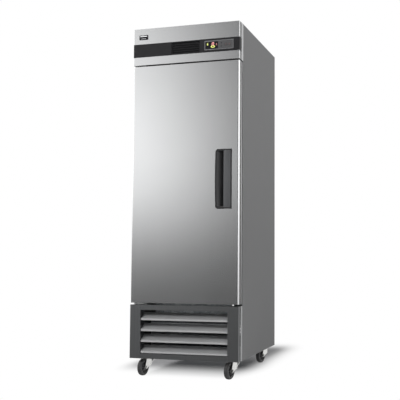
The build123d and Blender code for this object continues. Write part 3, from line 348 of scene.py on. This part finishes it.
# outlines as (along the axle, radius) in metres, turned to a ring
tyre_half = 0.0135
tyre_outline = [
    (-tyre_half, 0.0372), (-tyre_half, 0.0438), (-tyre_half + 0.0010, 0.0462), (-0.0095, 0.0487),
    (-0.0050, 0.0497), (-0.0012, 0.04995), (0.0012, 0.04995), (0.0050, 0.0497), (0.0095, 0.0487),
    (tyre_half - 0.0010, 0.0462), (tyre_half, 0.0438), (tyre_half, 0.0372), (tyre_half - 0.003, 0.0366),
    (-tyre_half + 0.003, 0.0366),
]
centre_outline = [
    (-tyre_half + 0.001, 0.0371), (-tyre_half + 0.0002, 0.0358), (-tyre_half + 0.001, 0.0340),
    (-0.0045, 0.0325), (-0.0035, 0.0165), (-0.0145, 0.0145), (-0.0153, 0.0125), (-0.0153, 0.0056),
    (0.0153, 0.0056), (0.0153, 0.0125), (0.0145, 0.0145), (0.0035, 0.0165), (0.0045, 0.0325),
    (tyre_half - 0.001, 0.0340), (tyre_half - 0.0002, 0.0358), (tyre_half - 0.001, 0.0371),
]
rib_count, rib_size, rib_radius = 8, (0.0215, 0.0022, 0.021), 0.0245
joints = {joint["name"]: joint for joint in frame["joints"]}
for corner in ("front_left", "front_right", "rear_left", "rear_right"):
    joint = joints[f"caster_{corner}_roll"]
    axle = Vector(joint["axis"]).normalized()
    up = Vector((0, 0, 1))
    turn = Matrix((axle, up.cross(axle), up)).transposed().to_4x4()
    seat = Matrix.Translation(Vector(joint["pos_m"])) @ turn
    tyre = turned(tyre_outline, 96)
    tyre.transform(seat)
    centre = turned(centre_outline, 96)
    for n in range(rib_count):
        spin = Matrix.Rotation(2 * math.pi * n / rib_count, 4, "X")
        add_block(centre, rib_size, spin @ Matrix.Translation((0, 0, rib_radius)), 0.0006)
    centre.transform(seat)
    roller = f"caster_{corner}_roller"
    tyre_piece = to_object(f"tyre_{corner}", tyre, tyre_rubber, roller, 40)
    to_object(f"wheel_centre_{corner}", centre, wheel_plastic, roller, 35)
    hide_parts(f"caster_{corner}_wheel")
    dress(zinc, f"caster_{corner}_fork")
dress(zinc, "caster_front_left_brake", "caster_front_right_brake")

# ------------------------------------------------------------------ machine grille
# A frame of two folded posts and two folded rails holds four sloped blades. It is satin
# stainless; the blades throw light up and leave the gaps between them dark.
grille_steel = stainless("darker satin steel, grille", (900.0, 900.0, 9.0), (0.20, 0.205, 0.21),
                         (0.25, 0.255, 0.26), rough=(0.30, 0.38), lift=0.08)
dress(grille_steel, "grille_frame")
blade_steel = stainless("satin steel, louvre blades", (9.0, 900.0, 900.0), (0.50, 0.505, 0.51),
                        (0.60, 0.605, 0.61), rough=(0.42, 0.52), lift=0.12, metallic=0.75)
dress(blade_steel, "grille_louvres")

# ------------------------------------------------------------------ door
# A stainless outer pan with rounded upright edges and a stainless liner are foamed together with
# a black plastic strip between them. A magnetic gasket runs round the back.
door_steel = stainless("satin steel, door", (900.0, 900.0, 5.0), (0.555, 0.56, 0.565), (0.60, 0.605, 0.61),
                       rough=(0.20, 0.25), lift=0.05)
dress(door_steel, "door_skin")
dress(upright_steel, "door_liner")
strip_plastic = coated("black edge plastic", (0.014, 0.014, 0.015), (0.022, 0.022, 0.023), rough=(0.4, 0.5),
                       peel=700.0, cloud=10.0, lift=0.12, dust=0.3)
dress(strip_plastic, "door_edge_strip", "hinge_bushes")
gasket_rubber = coated("black gasket rubber", (0.016, 0.016, 0.016), (0.026, 0.026, 0.026), rough=(0.5, 0.62),
                       peel=600.0, cloud=16.0, lift=0.15, dust=0.2)
dress(gasket_rubber, "door_gasket")

# ------------------------------------------------------------------ pull handle
# The handle is a black moulded cup let into the door. Its left side is scooped for the fingers,
# and a lighter flat grip with a rounded edge stands along its right side.
cup_low, cup_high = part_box("handle_cup")
grip_low, grip_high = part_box("handle_grip")
handle_plastic = coated("black handle plastic", (0.010, 0.010, 0.011), (0.016, 0.016, 0.017),
                        rough=(0.42, 0.52), peel=1500.0, cloud=8.0, lift=0.25, dust=0.15)
grip_plastic = coated("dark grey grip plastic", (0.052, 0.053, 0.056), (0.062, 0.063, 0.066),
                      rough=(0.42, 0.52), peel=1500.0, cloud=8.0, lift=0.25, dust=0.1)


def rise(value):
    """Eases from 0 to 1."""
    value = max(0.0, min(1.0, value))
    return value * value * (3 - 2 * value)


cup_middle = (cup_low.z + cup_high.z) / 2
half_height = (cup_high.z - cup_low.z) / 2


def left_edge(z):
    """The cup's left outline: bowed, with its corners cut."""
    t = abs(z - cup_middle) / half_height
    bow = 0.0035 * t * t
    cut = max(0.0, abs(z - cup_middle) - (half_height - 0.014))
    return cup_low.x + bow + cut * 0.8


def cup_depth(x, z, edge_x):
    """How far the cup's surface lies behind the front of its flange."""
    end = half_height - abs(z - cup_middle)
    inside = min(end, x - edge_x, cup_high.x - x)
    edge = 0.0016 * (1 - math.sqrt(max(0.0, 1 - (1 - min(1.0, inside / 0.0016)) ** 2)))
    scoop = rise((x - edge_x - 0.008) / 0.052) ** 0.75
    wall = rise((cup_high.x - 0.0068 - x) / 0.004)
    ends = rise((end - 0.0085) / 0.012)
    return edge + 0.037 * scoop * wall * ends


across, along = 84, 190
cup = bmesh.new()
table = []
for j in range(along + 1):
    s = j / along
    # rows crowd toward the two ends, where the cup turns most
    z = cup_middle - half_height * math.cos(math.pi * s) * 0.5 - half_height * (1 - 2 * s) * 0.5
    edge_x = left_edge(z)
    row = []
    for i in range(across + 1):
        t = i / across
        t = t - 0.10 * math.sin(2 * math.pi * t)
        x = edge_x + (cup_high.x - edge_x) * t
        row.append(cup.verts.new((x, cup_low.y + cup_depth(x, z, edge_x), z)))
    table.append(row)
for j in range(along):
    for i in range(across):
        cup.faces.new((table[j][i], table[j][i + 1], table[j + 1][i + 1], table[j + 1][i]))
cup_piece = to_object("handle_cup_moulding", cup, handle_plastic, "door", 50)
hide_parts("handle_cup")

grip_profile = [
    (grip_low.x + 0.0050, grip_high.y), (grip_low.x + 0.0012, grip_high.y - 0.0006),
    (grip_low.x, grip_high.y - 0.0030), (grip_low.x, grip_low.y + 0.0050),
    (grip_low.x + 0.0006, grip_low.y + 0.0026),
    (grip_low.x + 0.0022, grip_low.y + 0.0009), (grip_low.x + 0.0050, grip_low.y + 0.0002),
    (grip_low.x + 0.0200, grip_low.y), (grip_high.x - 0.0060, grip_low.y + 0.0006),
    (grip_high.x - 0.0020, grip_low.y + 0.0018), (grip_high.x, grip_low.y + 0.0040),
    (grip_high.x, grip_low.y + 0.0075), (grip_low.x + 0.0080, grip_low.y + 0.0075),
    (grip_low.x + 0.0058, grip_low.y + 0.0095), (grip_low.x + 0.0056, grip_high.y - 0.0020),
]
grip = bmesh.new()
levels = []
for n in range(25):
    z = grip_low.z + (grip_high.z - grip_low.z) * n / 24
    near_end = min(z - grip_low.z, grip_high.z - z)
    sink = 0.0016 * (1 - min(1.0, near_end / 0.012)) ** 2
    levels.append([grip.verts.new((x, y + sink, z)) for x, y in grip_profile])
for low_ring, high_ring in zip(levels, levels[1:]):
    for k in range(len(grip_profile)):
        j = (k + 1) % len(grip_profile)
        grip.faces.new((low_ring[k], low_ring[j], high_ring[j], high_ring[k]))
grip.faces.new(levels[0])
grip.faces.new(levels[-1])
bmesh.ops.recalc_face_normals(grip, faces=grip.faces)
grip_piece = to_object("handle_grip_moulding", grip, grip_plastic, "door", 40)
soften = grip_piece.modifiers.new("soft edges", "BEVEL")
soften.width = 0.0006
soften.segments = 2
soften.limit_method = "ANGLE"
soften.angle_limit = math.radians(50)
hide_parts("handle_grip")

# ------------------------------------------------------------------ header and black band
# The header is a folded stainless box above the door. A moulded black band lies in a channel
# across it and wraps round both corners; its middle holds a ribbed vent.
dress(door_steel, "header_shell")
band_plastic = coated("black band plastic", (0.009, 0.009, 0.010), (0.013, 0.013, 0.014), rough=(0.40, 0.48),
                      peel=1400.0, cloud=5.0, lift=0.2, dust=0.1, specular=0.22)
dress(band_plastic, "fascia_band")
vent_plastic = coated("black vent plastic", (0.007, 0.007, 0.008), (0.010, 0.010, 0.011), rough=(0.42, 0.5),
                      peel=1400.0, cloud=9.0, lift=0.2, dust=0.2, specular=0.2)
dress(vent_plastic, "fascia_vent")

# ------------------------------------------------------------------ badge
# A small glossy plate is stuck on the header's left. It carries a plain satin bar and no words.
badge_gloss = coated("black badge gloss", (0.006, 0.006, 0.008), (0.010, 0.010, 0.012), rough=(0.20, 0.28),
                     peel=500.0, cloud=20.0, lift=0.03, dust=0.05, specular=0.2)
badge_silver = coated("badge silver print", (0.62, 0.63, 0.64), (0.74, 0.75, 0.76), rough=(0.40, 0.5),
                      peel=500.0, cloud=20.0, lift=0.05, dust=0.0, metallic=0.3)
dress(badge_gloss, "badge_plate")
badge_low, badge_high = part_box("badge_plate")
badge_x, badge_front = (badge_low.x + badge_high.x) / 2, badge_low.y - 0.0002
bar = bmesh.new()
for size, bar_z in (((0.044, 0.0008, 0.0045), badge_high.z - 0.0075),
                    ((0.030, 0.0008, 0.0016), badge_low.z + 0.0070)):
    add_block(bar, size, Matrix.Translation((badge_x, badge_front, bar_z)), 0.0002)
to_object("badge_bar", bar, badge_silver, "cabinet", 30)

# ------------------------------------------------------------------ thermostat
# The control is a grey moulded bezel with a dark window at its left, lit figures behind it, two
# tell-tale lights and two round press keys with printed signs.
bezel_plastic = coated("dark grey bezel plastic", (0.050, 0.050, 0.052), (0.060, 0.060, 0.062),
                       rough=(0.42, 0.50), peel=1500.0, cloud=8.0, lift=0.18, dust=0.1, specular=0.25)
window_gloss = coated("dark window", (0.004, 0.004, 0.005), (0.007, 0.007, 0.009), rough=(0.14, 0.20),
                      peel=300.0, cloud=12.0, lift=0.02, dust=0.0, specular=0.2)
key_plastic = coated("grey key plastic", (0.026, 0.025, 0.026), (0.034, 0.033, 0.034), rough=(0.40, 0.48),
                     peel=1500.0, cloud=30.0, lift=0.15, dust=0.1)
dress(bezel_plastic, "controller_bezel")
dress(window_gloss, "display_window")
dress(key_plastic, "key_light", "key_power")


def lit(name, colour, strength):
    """A glowing segment; the glow is a little uneven, as over a lamp."""
    material, tree, shader = finish(name)
    spot = tree.nodes.new("ShaderNodeTexCoord").outputs["Object"]
    glow = noise(tree, spot, 160.0, 2.0)
    dim = tuple(c * 0.75 for c in colour)
    tree.links.new(shade_between(tree, glow, dim, colour), shader.inputs["Emission Color"])
    tree.links.new(shade_between(tree, glow, tuple(c * 0.2 for c in dim), tuple(c * 0.25 for c in colour)),
                   shader.inputs["Base Color"])
    tree.links.new(spread(tree, glow, 0.3, 0.4), shader.inputs["Roughness"])
    shader.inputs["Emission Strength"].default_value = strength
    return material


red_light = lit("red figures", (1.0, 0.42, 0.40), 1.1)
green_light = lit("yellow green signs", (0.80, 0.88, 0.22), 1.0)
window_low, window_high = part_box("display_window")
glass_y = window_low.y - 0.0001

SEGMENTS = {
    "8": "abcdefg", "C": "afed",
}


def segment_figure(mesh, sign, x, z, height, width, thick):
    """Adds one seven-segment figure with its lower left corner at x, z."""
    half_h = height / 2
    spots = {
        "a": (width / 2, height, True), "g": (width / 2, half_h, True), "d": (width / 2, 0, True),
        "f": (0, half_h * 1.5, False), "b": (width, half_h * 1.5, False),
        "e": (0, half_h * 0.5, False), "c": (width, half_h * 0.5, False),
    }
    for key in SEGMENTS[sign]:
        dx, dz, flat = spots[key]
        long = (width if flat else half_h) - thick * 0.5
        slant = dz * 0.09
        size = (long, 0.0003, thick) if flat else (thick, 0.0003, long)
        add_block(mesh, size, Matrix.Translation((x + dx + slant, glass_y, z + dz)), 0.0001)


window_width, window_height = window_high.x - window_low.x, window_high.z - window_low.z
middle_x = window_low.x + 0.585 * window_width
figures = bmesh.new()
segment_figure(figures, "8", middle_x - 0.0060, window_high.z - 0.0245, 0.0190, 0.0110, 0.0034)
segment_figure(figures, "C", window_high.x - 0.0120, window_high.z - 0.0215, 0.0085, 0.0046, 0.0018)
to_object("temperature_figures", figures, red_light, "cabinet", 30)

ring = turned([(-0.00015, 0.0100), (0.00015, 0.0100), (0.00015, 0.0048), (-0.00015, 0.0048)], 48)
ring.transform(Matrix.Translation((middle_x, glass_y, window_low.z + 0.31 * window_height))
               @ Matrix.Diagonal((1.35, 1.0, 0.74, 1.0)) @ Matrix.Rotation(math.pi / 2, 4, "Z"))
to_object("sign_ring", ring, green_light, "cabinet", 30)
lamp_x, lamp_z = window_low.x + 0.17 * window_width, window_high.z - 0.36 * window_height
signs = turned([(-0.00015, 0.0062), (0.00015, 0.0062), (0.00015, 0.0002), (-0.00015, 0.0002)], 48)
signs.transform(Matrix.Translation((lamp_x, glass_y, lamp_z)) @ Matrix.Diagonal((0.62, 1.0, 1.05, 1.0))
                @ Matrix.Rotation(math.pi / 2, 4, "Z"))
add_block(signs, (0.0070, 0.0003, 0.0016), Matrix.Translation((lamp_x, glass_y, lamp_z + 0.0086)), 0.0001)
to_object("sign_lights", signs, green_light, "cabinet", 30)

bezel_low, bezel_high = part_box("controller_bezel")
# painted highlight: a lighter strip round the bezel's front edge stands for the light its rim catches
rim_highlight_paint = coated("painted rim highlight", (0.15, 0.15, 0.155), (0.18, 0.18, 0.185), rough=(0.40, 0.50),
                     peel=1500.0, cloud=20.0, lift=0.15, dust=0.1)
rim = bmesh.new()
rim_x, rim_z = (bezel_low.x + bezel_high.x) / 2, (bezel_low.z + bezel_high.z) / 2
rim_width, rim_height = bezel_high.x - bezel_low.x - 0.0016, bezel_high.z - bezel_low.z - 0.0016
rim_line, rim_front = 0.0022, bezel_low.y - 0.0003
for side in (-1, 1):
    level_z = rim_z + side * (rim_height - rim_line) / 2
    add_block(rim, (rim_width, 0.0006, rim_line), Matrix.Translation((rim_x, rim_front, level_z)), 0.0002)
    upright_x = rim_x + side * (rim_width - rim_line) / 2
    add_block(rim, (rim_line, 0.0006, rim_height - 2 * rim_line),
              Matrix.Translation((upright_x, rim_front, rim_z)), 0.0002)
to_object("bezel_rim_highlight", rim, rim_highlight_paint, "cabinet", 30)
light_key_low, light_key_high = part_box("key_light")
centre_z = (light_key_low.z + light_key_high.z) / 2
pips = bmesh.new()
for dz in (-0.0095, 0.0095):
    spot = Matrix.Translation((bezel_high.x - 0.0760, bezel_low.y - 0.0002, centre_z + dz))
    pip = turned([(0.0006, 0.0032), (-0.0002, 0.0030), (-0.0004, 0.0016), (-0.0005, 0.0002)], 24,
                 closed=False)
    pip.transform(spot @ Matrix.Rotation(math.pi / 2, 4, "Z"))
    data = bpy.data.meshes.new("pip")
    pip.to_mesh(data)
    pip.free()
    pips.from_mesh(data)
    bpy.data.meshes.remove(data)
bmesh.ops.recalc_face_normals(pips, faces=pips.faces)
to_object("tell_tales", pips, window_gloss, "cabinet", 40)

sign_print = coated("faded printed sign", (0.17, 0.10, 0.10), (0.22, 0.13, 0.13),
                     rough=(0.45, 0.55), peel=900.0, cloud=40.0, lift=0.05, dust=0.0)


def arc_band(mesh, x, y, z, radius, width, start, stop, steps=28):
    """A flat printed arc on the key's face."""
    inner, outer = [], []
    for n in range(steps + 1):
        angle = math.radians(start + (stop - start) * n / steps)
        for ring_points, r in ((inner, radius - width / 2), (outer, radius + width / 2)):
            ring_points.append(mesh.verts.new((x + r * math.sin(angle), y, z + r * math.cos(angle))))
    for n in range(steps):
        mesh.faces.new((inner[n], inner[n + 1], outer[n + 1], outer[n]))


for name, body in (("power", "power_key"), ("light", "light_key")):
    low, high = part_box(f"key_{name}")
    x, y = (low.x + high.x) / 2, low.y - 0.00012
    sign = bmesh.new()
    if name == "power":
        arc_band(sign, x, y, centre_z, 0.0034, 0.0009, 35, 325)
        add_block(sign, (0.0009, 0.0002, 0.0038), Matrix.Translation((x, y, centre_z + 0.0026)), 0.0001)
    else:
        arc_band(sign, x, y, centre_z + 0.0008, 0.0026, 0.0008, -140, 140)
        add_block(sign, (0.0028, 0.0002, 0.0008), Matrix.Translation((x, y, centre_z - 0.0028)), 0.0001)
        add_block(sign, (0.0020, 0.0002, 0.0008), Matrix.Translation((x, y, centre_z - 0.0041)), 0.0001)
    to_object(f"key_sign_{name}", sign, sign_print, body, 30)

# ------------------------------------------------------------------ studio
# A pale floor runs out of sight into a white room; its colour is darker under the machine, a painted shadow.
# The steel mirrors a room that is bright at the upper left, dark near the level and paler at the floor.
floor_paint, floor_tree, floor_shader = finish("pale floor", specular=0.1)
floor_spot = floor_tree.nodes.new("ShaderNodeTexCoord").outputs["Object"]
floor_cloud = noise(floor_tree, floor_spot, 0.6, 3.0)
floor_tree.links.new(spread(floor_tree, floor_cloud, 0.8, 0.9), floor_shader.inputs["Roughness"])
far_white = floor_tree.nodes.new("ShaderNodeEmission")
far_white.inputs["Color"].default_value = (1, 1, 1, 1)
far_white.inputs["Strength"].default_value = 1.0
# painted shadow: the floor's colour is dark under the machine and eases to white a hand's width outside its
# foot
outside = floor_spot
for operation, value in (("SUBTRACT", (-0.13, 0.50, 0.0)), ("ABSOLUTE", None),
                         ("SUBTRACT", (0.31, 0.35, 0.0)), ("MAXIMUM", (0.0, 0.0, 0.0)),
                         ("MULTIPLY", (4.0, 1.7, 0.0)), ("LENGTH", None)):
    node = floor_tree.nodes.new("ShaderNodeVectorMath")
    node.operation = operation
    floor_tree.links.new(outside, node.inputs[0])
    if value is not None:
        node.inputs[1].default_value = value
    outside = node.outputs["Value"] if operation == "LENGTH" else node.outputs[0]
shadow_fade = floor_tree.nodes.new("ShaderNodeMapRange")
shadow_fade.interpolation_type = "SMOOTHSTEP"
shadow_fade.inputs["From Min"].default_value = 0.0
shadow_fade.inputs["From Max"].default_value = 1.0
shadow_fade.inputs["To Min"].default_value = 0.0
shadow_fade.inputs["To Max"].default_value = 1.0
floor_tree.links.new(outside, shadow_fade.inputs["Value"])
# the painted shadow and a random cloud together set the floor's colour
shadow_and_cloud = math_node(floor_tree, "ADD", math_node(floor_tree, "MULTIPLY", shadow_fade.outputs[0], 0.7),
                 math_node(floor_tree, "MULTIPLY", floor_cloud, 0.3))
floor_tree.links.new(shade_between(floor_tree, shadow_and_cloud, (0.26, 0.26, 0.265), (0.87, 0.87, 0.87)),
                     floor_shader.inputs["Base Color"])
# the camera sees a white glow where the painted shadow has faded out
floor_seen = floor_tree.nodes.new("ShaderNodeLightPath").outputs["Is Camera Ray"]
floor_mix = floor_tree.nodes.new("ShaderNodeMixShader")
floor_tree.links.new(math_node(floor_tree, "MULTIPLY", shadow_fade.outputs[0], floor_seen), floor_mix.inputs[0])
floor_tree.links.new(floor_shader.outputs[0], floor_mix.inputs[1])
floor_tree.links.new(far_white.outputs[0], floor_mix.inputs[2])
floor_tree.links.new(floor_mix.outputs[0], floor_tree.nodes["Material Output"].inputs["Surface"])
floor_mesh = bmesh.new()
bmesh.ops.create_grid(floor_mesh, x_segments=4, y_segments=4, size=40.0)
floor_data = bpy.data.meshes.new("floor")
floor_mesh.to_mesh(floor_data)
floor_mesh.free()
floor_data.materials.append(floor_paint)
floor = bpy.data.objects.new("floor", floor_data)
bpy.context.scene.collection.objects.link(floor)
floor.visible_glossy = False
floor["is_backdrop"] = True

world = bpy.data.worlds.new("studio")
bpy.context.scene.world = world
world.use_nodes = True
air = world.node_tree
for node in list(air.nodes):
    air.nodes.remove(node)
direction = air.nodes.new("ShaderNodeSeparateXYZ")
air.links.new(air.nodes.new("ShaderNodeTexCoord").outputs["Generated"], direction.inputs[0])


def ramp(source, start, stop, low, high):
    """Eases the world's brightness along one direction."""
    node = air.nodes.new("ShaderNodeMapRange")
    node.interpolation_type = "SMOOTHSTEP"
    node.inputs["From Min"].default_value = start
    node.inputs["From Max"].default_value = stop
    node.inputs["To Min"].default_value = low
    node.inputs["To Max"].default_value = high
    air.links.new(source, node.inputs["Value"])
    return node.outputs[0]


# what the steel mirrors: a bright wall at the upper left, a tall bright panel at the right,
# a dark band just below the level and a paler floor under that
upward = ramp(direction.outputs["Z"], 0.002, 0.080, 0.0, 1.0)
overhead = ramp(direction.outputs["Z"], 0.10, 0.46, 1.0, 0.42)
leftward = ramp(direction.outputs["X"], -0.258, -0.47, 0.08, 2.60)
lower = ramp(direction.outputs["Z"], -0.30, 0.02, 0.055, 0.125)
ground = ramp(direction.outputs["Z"], -0.17, -0.36, 0.0, 0.42)
panel = ramp(direction.outputs["X"], 0.30, 0.52, 0.0, 2.4)
panel_top = ramp(direction.outputs["Z"], -0.12, 0.14, 0.45, 1.0)
mirrored_room = math_node(air, "MULTIPLY", math_node(air, "MULTIPLY", upward, overhead), leftward)
mirrored_room = math_node(air, "ADD", mirrored_room, math_node(air, "ADD", lower, ground))
mirrored_room = math_node(air, "ADD", mirrored_room, math_node(air, "MULTIPLY", panel, panel_top))
# what lights the painted and moulded pieces: a dome that is brightest overhead
dome = ramp(direction.outputs["Z"], 0.10, 0.85, 0.11, 0.60)
path = air.nodes.new("ShaderNodeLightPath")
strength = air.nodes.new("ShaderNodeMix")
air.links.new(path.outputs["Is Glossy Ray"], strength.inputs[0])
air.links.new(dome, strength.inputs[2])
air.links.new(mirrored_room, strength.inputs[3])
room_light = air.nodes.new("ShaderNodeBackground")
air.links.new(strength.outputs[0], room_light.inputs["Strength"])
seen = air.nodes.new("ShaderNodeBackground")
seen.inputs["Color"].default_value = (1, 1, 1, 1)
seen.inputs["Strength"].default_value = 1.0
choose = air.nodes.new("ShaderNodeMixShader")
air.links.new(path.outputs["Is Camera Ray"], choose.inputs[0])
air.links.new(room_light.outputs[0], choose.inputs[1])
air.links.new(seen.outputs[0], choose.inputs[2])
air.links.new(choose.outputs[0], air.nodes.new("ShaderNodeOutputWorld").inputs["Surface"])


def soft_light(name, at, aim, width, height, power):
    """A rectangular soft light that faces a point and isn't mirrored in the steel."""
    data = bpy.data.lights.new(name, "AREA")
    data.shape = "RECTANGLE"
    data.size, data.size_y = width, height
    data.energy = power
    lamp = bpy.data.objects.new(name, data)
    lamp.location = at
    lamp.rotation_euler = (Vector(aim) - Vector(at)).to_track_quat("-Z", "Y").to_euler()
    lamp.visible_glossy = False
    bpy.context.scene.collection.objects.link(lamp)


soft_light("key light", (-2.2, -3.6, 4.2), (0, -0.4, 0.7), 1.8, 1.8, 300)
soft_light("side light", (3.4, -1.0, 4.0), (0.3, 0, 1.5), 2.0, 2.0, 38)
soft_light("top light", (0.2, -0.6, 4.8), (0, -0.3, 0), 3.0, 3.0, 60)
soft_light("back light", (-1.0, 4.6, 2.8), (0, 0, 1.0), 3.0, 2.4, 60)

# ------------------------------------------------------------------ camera
# Low and to the right of the front, about four metres away, tipped up a little. The small shift
# puts the object in the middle of the frame.
lens_over_sensor, yaw, pitch = 1.715, 0.2558, 0.0670
camera_data = bpy.data.cameras.new("camera")
camera_data.sensor_width = 36.0
camera_data.lens = lens_over_sensor * camera_data.sensor_width
camera_data.shift_x = -0.20
camera_data.shift_y = 0.02
camera = bpy.data.objects.new("camera", camera_data)
camera.location = (1.5805, -4.1887, 0.7286)
look = Vector((-math.sin(yaw) * math.cos(pitch), math.cos(yaw) * math.cos(pitch), math.sin(pitch)))
camera.rotation_euler = look.to_track_quat("-Z", "Y").to_euler()
bpy.context.scene.collection.objects.link(camera)
bpy.context.scene.camera = camera
bpy.context.scene.view_settings.view_transform = "Standard"

low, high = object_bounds()
